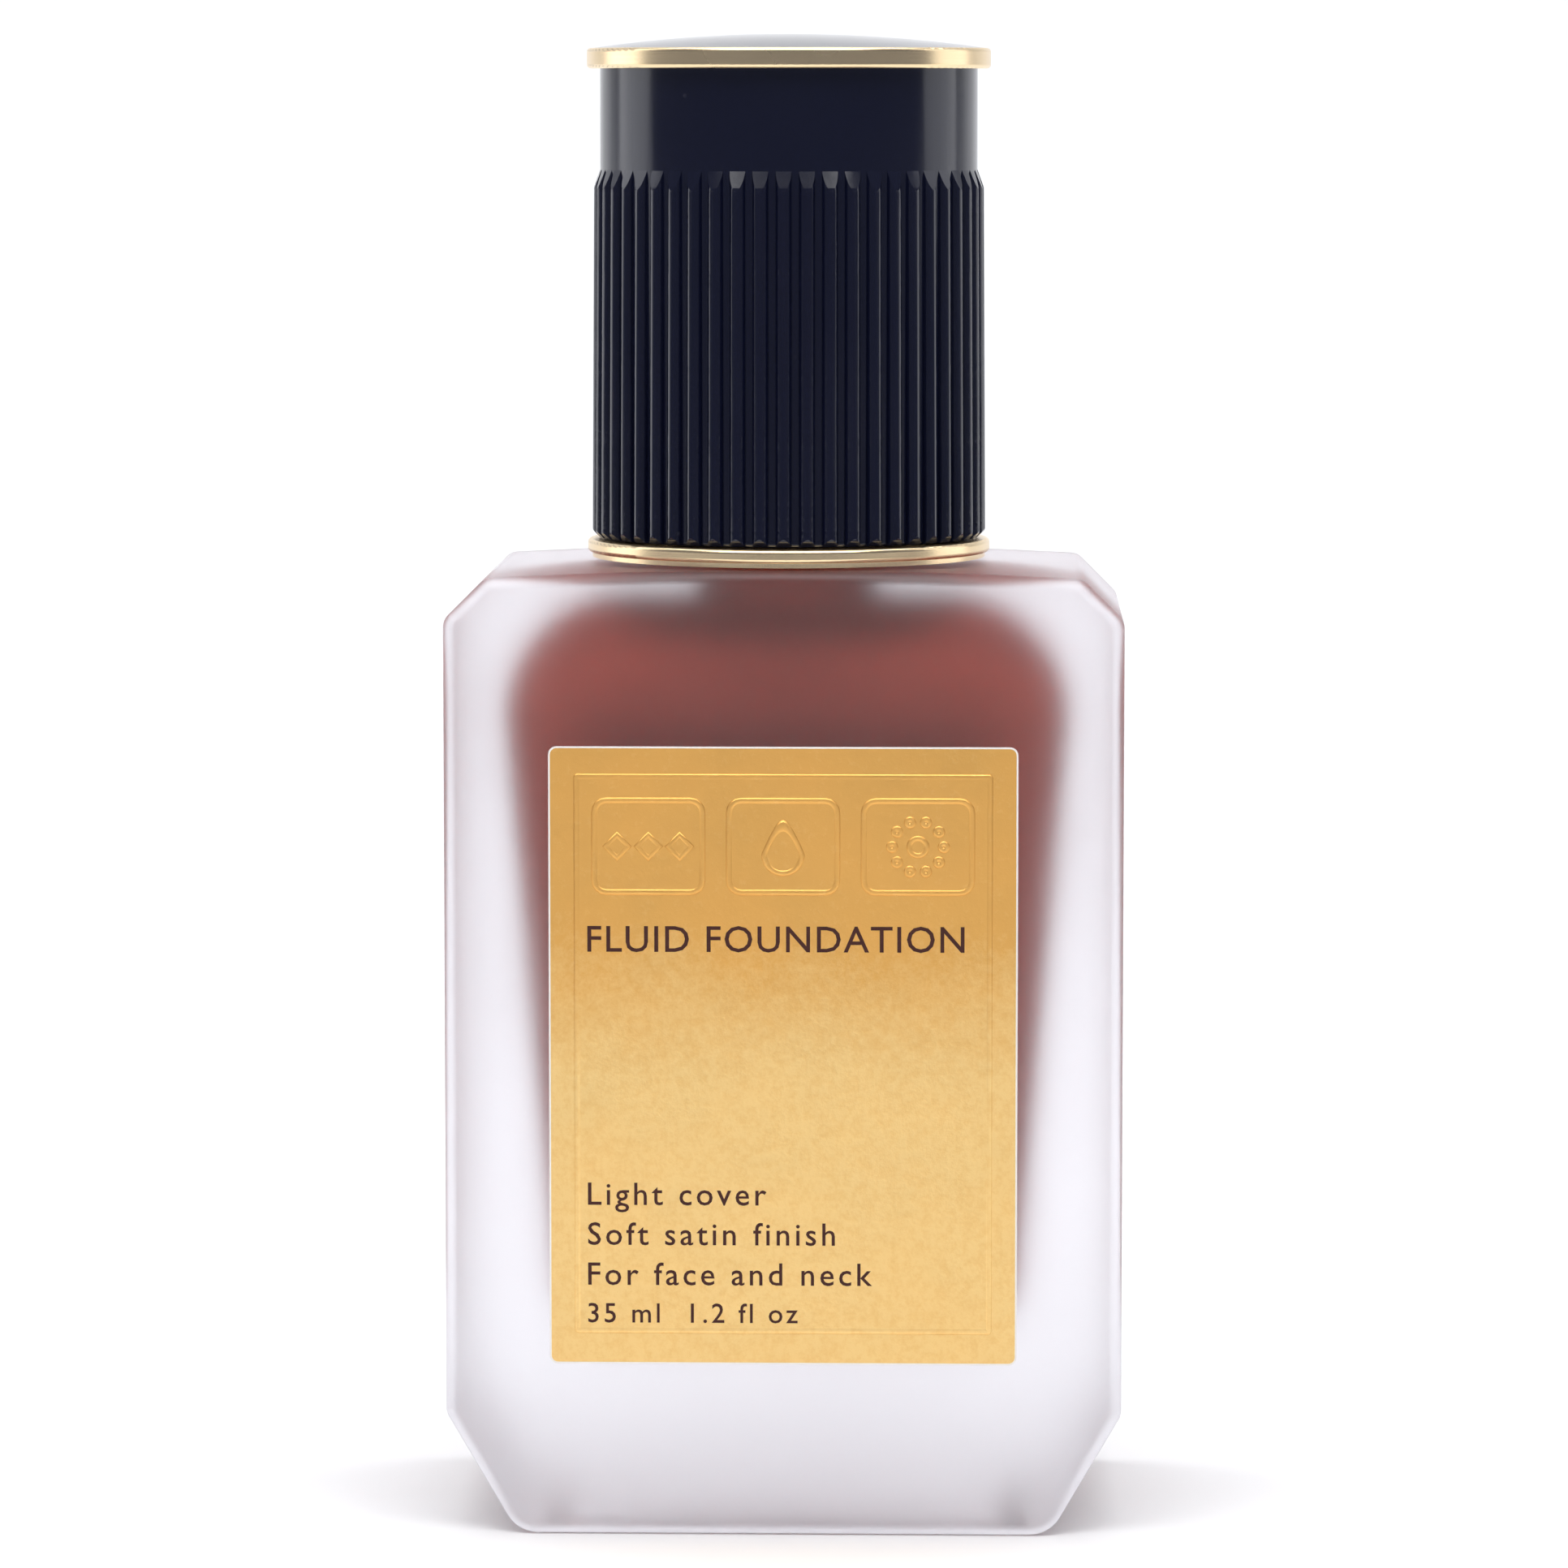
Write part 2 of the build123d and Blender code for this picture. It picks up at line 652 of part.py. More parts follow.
with BuildPart() as overcap_liner:
    with BuildSketch(Plane.XZ):
        section(liner_inner, liner_outer, liner_z, liner_head)
        section(0, liner_outer, liner_ceiling, liner_head)
    revolve(axis=Axis.Z)
    with BuildSketch(Plane.XY.offset(liner_z + grip_foot)):
        with PolarLocations(collar_outer + running_gap, grip_count):
            Rectangle(cap_gap + liner_wall / 2, grip_width, align=(Align.MIN, Align.CENTER))
    extrude(amount=grip_length)
overcap_liner.part.label = "overcap_liner"
export_step(overcap_liner.part, "parts/overcap_liner.step")

with BuildPart() as overcap_rim:
    with BuildSketch(Plane.XZ):
        section(deck_boss, rim_radius, deck_z, disc_z)
        section(disc_radius, rim_radius, disc_z, rim_top)
        fillet(vertices().group_by(Axis.X)[-1], radius=rim_round_outer)
    revolve(axis=Axis.Z)
overcap_rim.part.label = "overcap_rim"
export_step(overcap_rim.part, "parts/overcap_rim.step")

with BuildPart() as overcap_disc:
    with BuildSketch(Plane.XZ):
        section(0, disc_radius, disc_z, rim_top + disc_crown)
        with Locations((0, rim_top + disc_crown - disc_sphere)):
            Circle(disc_sphere, mode=Mode.INTERSECT)
    revolve(axis=Axis.Z)
overcap_disc.part.label = "overcap_disc"
export_step(overcap_disc.part, "parts/overcap_disc.step")
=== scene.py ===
# %% [markdown]
# # A frosted make-up bottle with a ribbed overcap
#
# The solid parts of this bottle were drawn in a CAD program and arrive here already in place,
# in metres, standing on z = 0 with the label towards -Y. This lesson gives them their finishes,
# and models what a CAD solid leaves plain: the embossed foil label, its print, the liquid that
# wets the inside of the glass, and the return spring of the pump.

import math

import bpy
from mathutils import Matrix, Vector


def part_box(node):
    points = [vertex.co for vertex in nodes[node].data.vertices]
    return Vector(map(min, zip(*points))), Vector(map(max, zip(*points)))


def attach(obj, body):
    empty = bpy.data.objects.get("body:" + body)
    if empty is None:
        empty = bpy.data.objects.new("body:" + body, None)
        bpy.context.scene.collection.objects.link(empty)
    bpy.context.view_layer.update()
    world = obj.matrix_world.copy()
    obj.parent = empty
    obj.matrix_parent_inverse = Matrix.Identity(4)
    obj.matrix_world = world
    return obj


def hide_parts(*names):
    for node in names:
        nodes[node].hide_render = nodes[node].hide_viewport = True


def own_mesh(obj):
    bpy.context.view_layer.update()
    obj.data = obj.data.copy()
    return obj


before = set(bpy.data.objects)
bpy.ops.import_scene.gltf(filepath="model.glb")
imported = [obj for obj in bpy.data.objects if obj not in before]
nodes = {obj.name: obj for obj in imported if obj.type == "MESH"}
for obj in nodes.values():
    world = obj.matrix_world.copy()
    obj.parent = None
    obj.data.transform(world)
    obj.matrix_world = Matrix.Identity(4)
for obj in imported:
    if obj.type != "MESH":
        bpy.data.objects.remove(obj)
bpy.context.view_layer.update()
MM = 0.001

# %% [markdown]
# An operator works on everything that is selected, and the parts have just been loaded
# selected. So the first helper clears the selection, and every new piece starts with it.
# A second helper picks one object, which is what most operators want.


# %% Two helpers for the selection
def clear_selection():
    if bpy.context.object and bpy.context.object.mode != "OBJECT":
        bpy.ops.object.mode_set(mode="OBJECT")
    bpy.ops.object.select_all(action="DESELECT")


def pick(piece):
    clear_selection()
    piece.select_set(True)
    bpy.context.view_layer.objects.active = piece


clear_selection()
print("selected:", len(bpy.context.selected_objects))

# %% [markdown]
# ## Light, floor and camera first
#
# Gloss shows only what there is to mirror, so the lights are set before any finish is judged.
# The floor is a pale sweep: a sheet that lies flat under the bottle and curves up far behind it,
# so no horizon shows. It is one plane, extruded up at its back edge and rounded with a bevel.

# %% The pale sweep
SWEEP_WIDTH = 3.0
SWEEP_FRONT = -0.45
SWEEP_BACK = 0.85
SWEEP_HEIGHT = 1.5
SWEEP_ROUND = 0.45
SWEEP_STEPS = 24

clear_selection()
bpy.ops.mesh.primitive_plane_add(size=1, location=(0, (SWEEP_FRONT + SWEEP_BACK) / 2, 0))
sweep = bpy.context.object
sweep.name = "pale_sweep"
sweep.scale = (SWEEP_WIDTH, SWEEP_BACK - SWEEP_FRONT, 1)
bpy.ops.object.transform_apply(location=True, rotation=True, scale=True)
bpy.ops.object.mode_set(mode="EDIT")
bpy.ops.mesh.select_mode(type="EDGE")
bpy.ops.mesh.select_all(action="DESELECT")
bpy.ops.object.mode_set(mode="OBJECT")
for edge in sweep.data.edges:
    ends = [sweep.data.vertices[i].co.y for i in edge.vertices]
    edge.select = min(ends) > SWEEP_BACK - MM
bpy.ops.object.mode_set(mode="EDIT")
bpy.ops.mesh.extrude_region_move(TRANSFORM_OT_translate={"value": (0, 0, SWEEP_HEIGHT)})
bpy.ops.object.mode_set(mode="OBJECT")
rounding = sweep.modifiers.new("rounding", "BEVEL")
rounding.width = SWEEP_ROUND
rounding.segments = SWEEP_STEPS
bpy.ops.object.modifier_apply(modifier="rounding")
bpy.ops.object.shade_smooth()
print("sweep faces:", len(sweep.data.polygons))

# %% [markdown]
# Soft boxes are area lights. Each is aimed at a point by turning its -Z axis along the line
# from the light to that point. A wide one overhead lights the floor and the shoulder of the
# glass, one at each side draws a pale edge down the cap, one behind brightens the sweep, and one
# high in front lights the label.


# %% The soft boxes
DAYLIGHT = (0.96, 0.97, 1.0)
SIDE_SIZE = (0.5, 0.9)
SIDE_AIM = (0, 0.1, 0.06)


def soft_box(name, place, aim, size, watts, colour=(1, 1, 1)):
    clear_selection()
    bpy.ops.object.light_add(type="AREA", location=place)
    lamp = bpy.context.object
    lamp.name = name
    lamp.rotation_euler = (Vector(aim) - Vector(place)).to_track_quat("-Z", "Y").to_euler()
    lamp.data.shape = "RECTANGLE"
    lamp.data.size, lamp.data.size_y = size
    lamp.data.energy = watts
    lamp.data.color = colour


soft_box("over_box", (0, -0.05, 0.75), (0, 0, 0), (0.9, 0.8), 3.0)
soft_box("left_box", (-0.75, 0.25, 0.3), SIDE_AIM, SIDE_SIZE, 2.3, DAYLIGHT)
soft_box("right_box", (0.75, 0.25, 0.3), SIDE_AIM, SIDE_SIZE, 1.7, DAYLIGHT)
soft_box("back_box", (0, 0.3, 1.1), (0, 0.85, 0.35), (1.6, 0.5), 6.0)
soft_box("front_box", (0, -0.42, 0.72), (0, 0, 0.04), (1.0, 0.4), 5.5)

bpy.context.scene.view_settings.view_transform = "Standard"

# %% [markdown]
# The room itself is a dim, cool grey, which is what the black cap mirrors. Past the edges of the
# sweep, where a view from the side looks straight into the room, it shows as a pale wall: the
# Light Path node tells such a direct look apart from a reflection.

# %% The room
DIM_GREY = (0.74, 0.79, 1.0, 1)
DIM_STRENGTH = 0.20
WALL_WHITE = (0.92, 0.93, 0.95, 1)
WALL_STRENGTH = 0.95

room = bpy.data.worlds.new("room")
bpy.context.scene.world = room
room.use_nodes = True
tree = room.node_tree
dim_room = tree.nodes["Background"]
dim_room.inputs["Color"].default_value = DIM_GREY
dim_room.inputs["Strength"].default_value = DIM_STRENGTH
pale_wall = tree.nodes.new("ShaderNodeBackground")
pale_wall.inputs["Color"].default_value = WALL_WHITE
pale_wall.inputs["Strength"].default_value = WALL_STRENGTH
ray = tree.nodes.new("ShaderNodeLightPath")
mirrored_or_seen = tree.nodes.new("ShaderNodeMixShader")
tree.links.new(ray.outputs["Is Camera Ray"], mirrored_or_seen.inputs["Fac"])
tree.links.new(dim_room.outputs["Background"], mirrored_or_seen.inputs[1])
tree.links.new(pale_wall.outputs["Background"], mirrored_or_seen.inputs[2])
world_output = tree.nodes["World Output"]
tree.links.new(mirrored_or_seen.outputs["Shader"], world_output.inputs["Surface"])
print("room nodes:", len(tree.nodes))

# %% [markdown]
# The camera stands a little right of the middle and looks slightly down, with a long lens, so
# the upright edges stay almost parallel.

# %% The camera
CAMERA_DISTANCE = 0.5362
CAMERA_HEIGHT = 0.1072
CAMERA_SIDE = math.radians(1.55)
CAMERA_YAW = math.radians(1.61)
CAMERA_PITCH = math.radians(5.62)
SENSOR_MM = 36
LENS_MM = 163.8
SIDE_SHIFT = 0.0017
NEAREST = 0.01

clear_selection()
bpy.ops.object.camera_add(
    location=(
        CAMERA_DISTANCE * math.sin(CAMERA_SIDE),
        -CAMERA_DISTANCE * math.cos(CAMERA_SIDE),
        CAMERA_HEIGHT,
    ),
    rotation=(math.pi / 2 - CAMERA_PITCH, 0, CAMERA_YAW),
)
camera = bpy.context.object
camera.name = "camera"
camera.data.sensor_width = SENSOR_MM
camera.data.lens = LENS_MM
camera.data.shift_x = SIDE_SHIFT
camera.data.clip_start = NEAREST
bpy.context.scene.camera = camera
print("camera at", tuple(round(c, 4) for c in camera.location))

# %% [markdown]
# ## Effects that several finishes share
#
# Real surfaces are never quite even: moulded plastic has a faint orange-peel, metal has fine
# turning marks, and everything handled carries a little dust and grease. Each of these is a
# node group with named inputs and outputs, built once. A helper makes the empty group, with
# plain numbers for its sockets.


# %% A helper that makes a node group
def new_group(name, inputs, outputs):
    group = bpy.data.node_groups.new(name, "ShaderNodeTree")
    for label, default in inputs:
        socket = group.interface.new_socket(label, in_out="INPUT", socket_type="NodeSocketFloat")
        socket.default_value = default
    for label in outputs:
        group.interface.new_socket(label, in_out="OUTPUT", socket_type="NodeSocketFloat")
    start = group.nodes.new("NodeGroupInput")
    end = group.nodes.new("NodeGroupOutput")
    return group, start, end


print("new_group ready")

# %% [markdown]
# Four more helpers add the nodes that every recipe below is built from: a noise, a range that
# stretches one span of values to another, a sum or product, and the object's own coordinates,
# which stay fixed to the surface whatever the piece does.


# %% Helpers that add common nodes
def noise_node(tree, scale, detail, roughness=0.55):
    noise = tree.nodes.new("ShaderNodeTexNoise")
    noise.inputs["Scale"].default_value = scale
    noise.inputs["Detail"].default_value = detail
    noise.inputs["Roughness"].default_value = roughness
    return noise


def ramp_node(tree, low, high, low_value=0.0, high_value=1.0):
    ramp = tree.nodes.new("ShaderNodeMapRange")
    ramp.inputs["From Min"].default_value = low
    ramp.inputs["From Max"].default_value = high
    ramp.inputs["To Min"].default_value = low_value
    ramp.inputs["To Max"].default_value = high_value
    return ramp


def math_node(tree, operation, second=None):
    node = tree.nodes.new("ShaderNodeMath")
    node.operation = operation
    if second is not None:
        node.inputs[1].default_value = second
    return node


def on_object(tree, *textures):
    place = tree.nodes.new("ShaderNodeTexCoord")
    for texture in textures:
        tree.links.new(place.outputs["Object"], texture.inputs["Vector"])


print("noise_node, ramp_node, math_node and on_object ready")

# %% [markdown]
# **Handled surface**: broad soft patches of grease that change the roughness, and sparse specks
# of dust, which gather only where a second noise allows them. It puts out a roughness, a dust
# mask and a very fine height. The scales are in features per metre.

# %% The handled surface group
handled, start, end = new_group(
    "handled_surface",
    [("Roughness", 0.2), ("Smear", 0.08), ("Dust", 0.3)],
    ["Roughness", "Dust Mask", "Height"],
)
SMEAR_SCALE = 60.0
SPECK_SCALE = 420.0
GATHER_SCALE = 90.0
PEEL_SCALE = 900.0

smear = noise_node(handled, SMEAR_SCALE, 2.0)
smear_range = ramp_node(handled, 0.35, 0.7, -1.0, 1.0)
smear_part = math_node(handled, "MULTIPLY")
rough_sum = math_node(handled, "ADD")
specks = handled.nodes.new("ShaderNodeTexVoronoi")
specks.inputs["Scale"].default_value = SPECK_SCALE
speck_edge = ramp_node(handled, 0.10, 0.05)
gather = noise_node(handled, GATHER_SCALE, 4.0)
gather_range = ramp_node(handled, 0.58, 0.72)
dust = math_node(handled, "MULTIPLY")
dust_amount = math_node(handled, "MULTIPLY")
peel = noise_node(handled, PEEL_SCALE, 2.0)
on_object(handled, smear, specks, gather, peel)
link = handled.links.new
link(smear.outputs["Fac"], smear_range.inputs["Value"])
link(smear_range.outputs["Result"], smear_part.inputs[0])
link(start.outputs["Smear"], smear_part.inputs[1])
link(start.outputs["Roughness"], rough_sum.inputs[0])
link(smear_part.outputs[0], rough_sum.inputs[1])
link(rough_sum.outputs[0], end.inputs["Roughness"])
link(specks.outputs["Distance"], speck_edge.inputs["Value"])
link(gather.outputs["Fac"], gather_range.inputs["Value"])
link(speck_edge.outputs["Result"], dust.inputs[0])
link(gather_range.outputs["Result"], dust.inputs[1])
link(dust.outputs[0], dust_amount.inputs[0])
link(start.outputs["Dust"], dust_amount.inputs[1])
link(dust_amount.outputs[0], end.inputs["Dust Mask"])
link(peel.outputs["Fac"], end.inputs["Height"])
print("handled_surface:", len(handled.nodes), "nodes")

# %% [markdown]
# **Turned metal**: the rings and sleeves are spun from sheet, which leaves hair-fine rings
# round the axis. Noise that is squeezed hard along Z gives such rings on a turned part.

# %% The turned metal group
ALONG_THE_RING = 40.0
ACROSS_THE_RING = 9000.0

turned, start, end = new_group("turned_metal", [("Marks", 1.0)], ["Marks", "Height"])
squeeze = turned.nodes.new("ShaderNodeMapping")
squeeze.inputs["Scale"].default_value = (ALONG_THE_RING, ALONG_THE_RING, ACROSS_THE_RING)
on_object(turned, squeeze)
rings = noise_node(turned, 1.0, 4.0, 0.7)
ring_height = math_node(turned, "MULTIPLY")
link = turned.links.new
link(squeeze.outputs["Vector"], rings.inputs["Vector"])
link(rings.outputs["Fac"], end.inputs["Marks"])
link(rings.outputs["Fac"], ring_height.inputs[0])
link(start.outputs["Marks"], ring_height.inputs[1])
link(ring_height.outputs[0], end.inputs["Height"])
print("turned_metal:", len(turned.nodes), "nodes")

# %% [markdown]
# ## Finishes
#
# Each finish is one material. A helper makes it, sets what is the same all over straight on the
# Principled shader, and hands back the tree for the rest. Three more place a group, turn a height
# into a bump, and tint the colour where a mask says so.


# %% Helpers for finishes
def finish_of(name, colour, roughness, **settings):
    made = bpy.data.materials.new(name)
    made.use_nodes = True
    shader = made.node_tree.nodes["Principled BSDF"]
    shader.inputs["Base Color"].default_value = (*colour, 1)
    shader.inputs["Roughness"].default_value = roughness
    for label, value in settings.items():
        shader.inputs[label.replace("_", " ")].default_value = value
    made.diffuse_color = (*colour, 1)
    return made, made.node_tree, shader


def use_group(tree, group, **values):
    node = tree.nodes.new("ShaderNodeGroup")
    node.node_tree = group
    for label, value in values.items():
        node.inputs[label].default_value = value
    return node


def bump_into(tree, shader, height, strength, distance):
    bump = tree.nodes.new("ShaderNodeBump")
    bump.inputs["Strength"].default_value = strength
    bump.inputs["Distance"].default_value = distance
    tree.links.new(height, bump.inputs["Height"])
    tree.links.new(bump.outputs["Normal"], shader.inputs["Normal"])


def tint_by(tree, shader, mask, clean, marked):
    mix = tree.nodes.new("ShaderNodeMix")
    mix.data_type = "RGBA"
    mix.inputs["A"].default_value = (*clean, 1)
    mix.inputs["B"].default_value = (*marked, 1)
    tree.links.new(mask, mix.inputs["Factor"])
    tree.links.new(mix.outputs["Result"], shader.inputs["Base Color"])


print("finish_of, use_group, bump_into and tint_by ready")

# %% [markdown]
# **Moulded plastics.** The overcap is injection moulded in a near-black blue with a polished
# tool. The same recipe, with other colours, serves the natural and white plastics of the pump.


# %% Plastics
PEEL_STRENGTH = 0.12
PEEL_DEPTH = 0.02 * MM


def plastic(name, colour, roughness, dust_colour, smear=0.05, dust=0.5, **settings):
    made, tree, shader = finish_of(name, colour, roughness, **settings)
    life = use_group(tree, handled, Roughness=roughness, Smear=smear, Dust=dust)
    tree.links.new(life.outputs["Roughness"], shader.inputs["Roughness"])
    tint_by(tree, shader, life.outputs["Dust Mask"], colour, dust_colour)
    bump_into(tree, shader, life.outputs["Height"], PEEL_STRENGTH, PEEL_DEPTH)
    return made


DARK_DUST = (0.05, 0.05, 0.06)
cap_black = plastic("cap_black", (0.0035, 0.0045, 0.0150), 0.15, DARK_DUST, 0.03, 0.5)
disc_black = plastic("disc_black", (0.010, 0.011, 0.018), 0.09, DARK_DUST, 0.03, 0.4)
liner_black = plastic("liner_black", (0.030, 0.031, 0.036), 0.38, (0.08, 0.08, 0.08))
closure_black = plastic("closure_black", (0.016, 0.016, 0.020), 0.30, (0.06, 0.06, 0.06))
pump_white = plastic("pump_white", (0.80, 0.80, 0.78), 0.34, (0.60, 0.58, 0.54))
piston_white = plastic("piston_white", (0.86, 0.86, 0.84), 0.42, (0.70, 0.68, 0.64))
gasket_grey = plastic("gasket_grey", (0.62, 0.62, 0.60), 0.62, (0.50, 0.49, 0.47))
natural = {"Transmission_Weight": 0.55, "IOR": 1.5}
pump_natural = plastic("pump_natural", (0.86, 0.88, 0.90), 0.30, (0.75, 0.75, 0.75), **natural)
tube_natural = plastic("tube_natural", (0.88, 0.90, 0.91), 0.36, (0.78, 0.78, 0.78), **natural)
print("plastics made")

# %% [markdown]
# **Metals.** The rings, the collar and the pump's sleeve are thin aluminium, anodised a pale
# gold. The ball and the spring are plain stainless steel.


# %% Metals
MARK_STRENGTH = 0.10
MARK_DEPTH = 0.02 * MM


def metal(name, colour, shade, roughness, marks):
    made, tree, shader = finish_of(name, colour, roughness, Metallic=1.0)
    life = use_group(tree, handled, Roughness=roughness, Smear=0.03, Dust=0.35)
    spun = use_group(tree, turned, Marks=marks)
    tree.links.new(life.outputs["Roughness"], shader.inputs["Roughness"])
    tint_by(tree, shader, spun.outputs["Marks"], colour, shade)
    bump_into(tree, shader, spun.outputs["Height"], MARK_STRENGTH, MARK_DEPTH)
    return made


pale_gold = metal("pale_gold", (0.95, 0.76, 0.48), (0.89, 0.68, 0.39), 0.26, 1.0)
stainless = metal("stainless", (0.66, 0.66, 0.68), (0.58, 0.58, 0.60), 0.20, 0.6)
print("metals made")

# %% [markdown]
# **Frosted glass.** The bottle is dipped in acid, which etches the outside into millions of
# tiny lenses and leaves the inside clear. So the roughness is high outside and low inside the
# cavity. A mask tells the two apart: it is one inside a box a little larger than the cavity. Each
# side of the box is a comparison that gives one or zero, and their product is the mask.


# %% A mask for a box round the cavity
def limit_node(tree, source, operation, limit):
    test = math_node(tree, operation, limit)
    tree.links.new(source, test.inputs[0])
    return test.outputs[0]


def size_of(tree, source):
    size = math_node(tree, "ABSOLUTE")
    tree.links.new(source, size.inputs[0])
    return size.outputs[0]


def product_of(tree, values):
    product = values[0]
    for value in values[1:]:
        both = math_node(tree, "MULTIPLY")
        tree.links.new(product, both.inputs[0])
        tree.links.new(value, both.inputs[1])
        product = both.outputs[0]
    return product


liquid_low, liquid_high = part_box("foundation_liquid")
shoulder_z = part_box("shoulder_ring")[0].z
BESIDE_CAVITY = 0.8 * MM
UNDER_CAVITY = 1.0 * MM
print("cavity from", round(liquid_low.z / MM, 2), "to", round(liquid_high.z / MM, 2), "mm")

# %% [markdown]
# The etched outside is not quite even: a cloudy noise moves its roughness a little, and a very
# fine one gives it tooth. The shader itself stays plain glass.

# %% The frosted glass
CLEAR_ROUGHNESS = 0.06
ETCH_SCALE = 5000.0
CLOUD_SCALE = 45.0

frosted, tree, shader = finish_of(
    "frosted_glass",
    (0.935, 0.922, 0.955),
    0.5,
    Transmission_Weight=0.98,
    IOR=1.5,
    Specular_IOR_Level=0.3,
)
axes = tree.nodes.new("ShaderNodeSeparateXYZ")
etch = noise_node(tree, ETCH_SCALE, 2.0)
cloud = noise_node(tree, CLOUD_SCALE, 3.0)
on_object(tree, axes, etch, cloud)
across, deep, up = (axes.outputs[name] for name in "XYZ")
inside = product_of(
    tree,
    [
        limit_node(tree, size_of(tree, across), "LESS_THAN", liquid_high.x + BESIDE_CAVITY),
        limit_node(tree, size_of(tree, deep), "LESS_THAN", liquid_high.y + BESIDE_CAVITY),
        limit_node(tree, up, "GREATER_THAN", liquid_low.z - UNDER_CAVITY),
        limit_node(tree, up, "LESS_THAN", shoulder_z - UNDER_CAVITY),
    ],
)
etched_roughness = ramp_node(tree, 0.3, 0.7, 0.46, 0.54)
tree.links.new(cloud.outputs["Fac"], etched_roughness.inputs["Value"])
roughness_mix = tree.nodes.new("ShaderNodeMix")
roughness_mix.inputs["B"].default_value = CLEAR_ROUGHNESS
tree.links.new(inside, roughness_mix.inputs["Factor"])
tree.links.new(etched_roughness.outputs["Result"], roughness_mix.inputs["A"])
tree.links.new(roughness_mix.outputs["Result"], shader.inputs["Roughness"])
bump_into(tree, shader, etch.outputs["Fac"], 0.15, 0.01 * MM)
print("frosted_glass:", len(tree.nodes), "nodes")

# %% [markdown]
# **The liquid** is an opaque, creamy emulsion of pigment and oil. Where it wets the glass there
# is no air gap and so no gloss: its specular is switched off.

# %% The liquid's finish
SWIRL_SCALE = 55.0

liquid_finish, tree, shader = finish_of(
    "liquid_makeup", (0.31, 0.050, 0.031), 0.8, Specular_IOR_Level=0.0
)
swirl = noise_node(tree, SWIRL_SCALE, 4.0)
on_object(tree, swirl)
tint_by(tree, shader, swirl.outputs["Fac"], (0.28, 0.042, 0.026), (0.34, 0.060, 0.038))
print("liquid finish made")

# %% [markdown]
# ## The liquid
#
# The solid that came from CAD meets the glass exactly. Two surfaces in one place confuse the
# renderer, and a thin air gap between them would look dry. So the liquid is a merged copy that
# is pushed outwards by a few hundredths of a millimetre, into the glass, with Displace.


# %% Copy a solid part
SAME_PLACE = 0.002 * MM


def merged_copy(node, name):
    clear_selection()
    piece = nodes[node].copy()
    piece.data = nodes[node].data.copy()
    piece.data.materials.clear()
    piece.name = name
    for key in list(piece.keys()):
        del piece[key]
    bpy.context.scene.collection.objects.link(piece)
    piece.parent = None
    pick(piece)
    bpy.ops.object.mode_set(mode="EDIT")
    bpy.ops.mesh.select_all(action="SELECT")
    bpy.ops.mesh.remove_doubles(threshold=SAME_PLACE)
    bpy.ops.object.mode_set(mode="OBJECT")
    return piece


print("merged_copy ready")

# %% [markdown]
# Displace moves every point along its normal. Its middle level is set to zero, so that the whole
# strength goes outwards. Then the flat faces are left flat and the rounds are smoothed.

# %% The liquid that wets the glass
WETTING = 0.03 * MM
LIQUID_CREASE = math.radians(35)

liquid = merged_copy("foundation_liquid", "liquid_fill")
swell = liquid.modifiers.new("swell", "DISPLACE")
swell.strength = WETTING
swell.mid_level = 0.0
bpy.ops.object.modifier_apply(modifier="swell")
bpy.ops.object.shade_smooth_by_angle(angle=LIQUID_CREASE)
liquid.data.materials.append(liquid_finish)
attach(liquid, "bottle")
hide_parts("foundation_liquid")
print("liquid faces:", len(liquid.data.polygons))

# %% [markdown]
# ## The foil label
#
# The label is gold foil laminated on paper and pressed between two dies: fine ridges stand up
# round the edge and round three small panels. A bump texture would fake them, but they catch
# the light on one side and shade on the other, so they are modelled. Everything is made lying
# flat, with the printed side up, and the finished label is stood against the glass.
#
# The foil comes first. Its colour is pale low down and deepens to an old gold higher up, along a
# wavering line: a painted dark reflection, standing in for the darker surroundings that the upper
# foil mirrors. A fine grain speckles it, and broad cockles, where the paper took up damp, bend
# the light.

# %% The foil
FOIL_PALE = (1.0, 0.70, 0.29)
FOIL_PAINTED_DARK_AND_GRAIN = (0.86, 0.48, 0.135)
PAINTED_REFLECTION_FROM = 34 * MM
PAINTED_REFLECTION_TO = 46 * MM
PAINTED_REFLECTION_WAVER = 5 * MM
GRAIN_SCALE = 1700.0
COCKLE_SCALE = 130.0
PAINTED_REFLECTION_WAVER_SCALE = 70.0
COCKLE_SHARE = 4.0

foil, tree, shader = finish_of("gold_foil", FOIL_PALE, 0.5, Metallic=1.0)
grain = noise_node(tree, GRAIN_SCALE, 5.0, 0.7)
cockle = noise_node(tree, COCKLE_SCALE, 3.0)
reflection_waver_noise = noise_node(tree, PAINTED_REFLECTION_WAVER_SCALE, 3.0)
axes = tree.nodes.new("ShaderNodeSeparateXYZ")
on_object(tree, grain, cockle, reflection_waver_noise, axes)
# The wavering, height-based darkening below is a painted dark reflection, not a colour of the
# foil.
painted_reflection_wave = ramp_node(tree, 0.0, 1.0, -PAINTED_REFLECTION_WAVER, PAINTED_REFLECTION_WAVER)
tree.links.new(reflection_waver_noise.outputs["Fac"], painted_reflection_wave.inputs["Value"])
painted_reflection_edge = math_node(tree, "ADD")
tree.links.new(axes.outputs["Z"], painted_reflection_edge.inputs[0])
tree.links.new(painted_reflection_wave.outputs["Result"], painted_reflection_edge.inputs[1])
painted_dark_reflection = ramp_node(tree, PAINTED_REFLECTION_FROM, PAINTED_REFLECTION_TO)
tree.links.new(painted_reflection_edge.outputs[0], painted_dark_reflection.inputs["Value"])
speckle = ramp_node(tree, 0.35, 0.65, -0.12, 0.30)
tree.links.new(grain.outputs["Fac"], speckle.inputs["Value"])
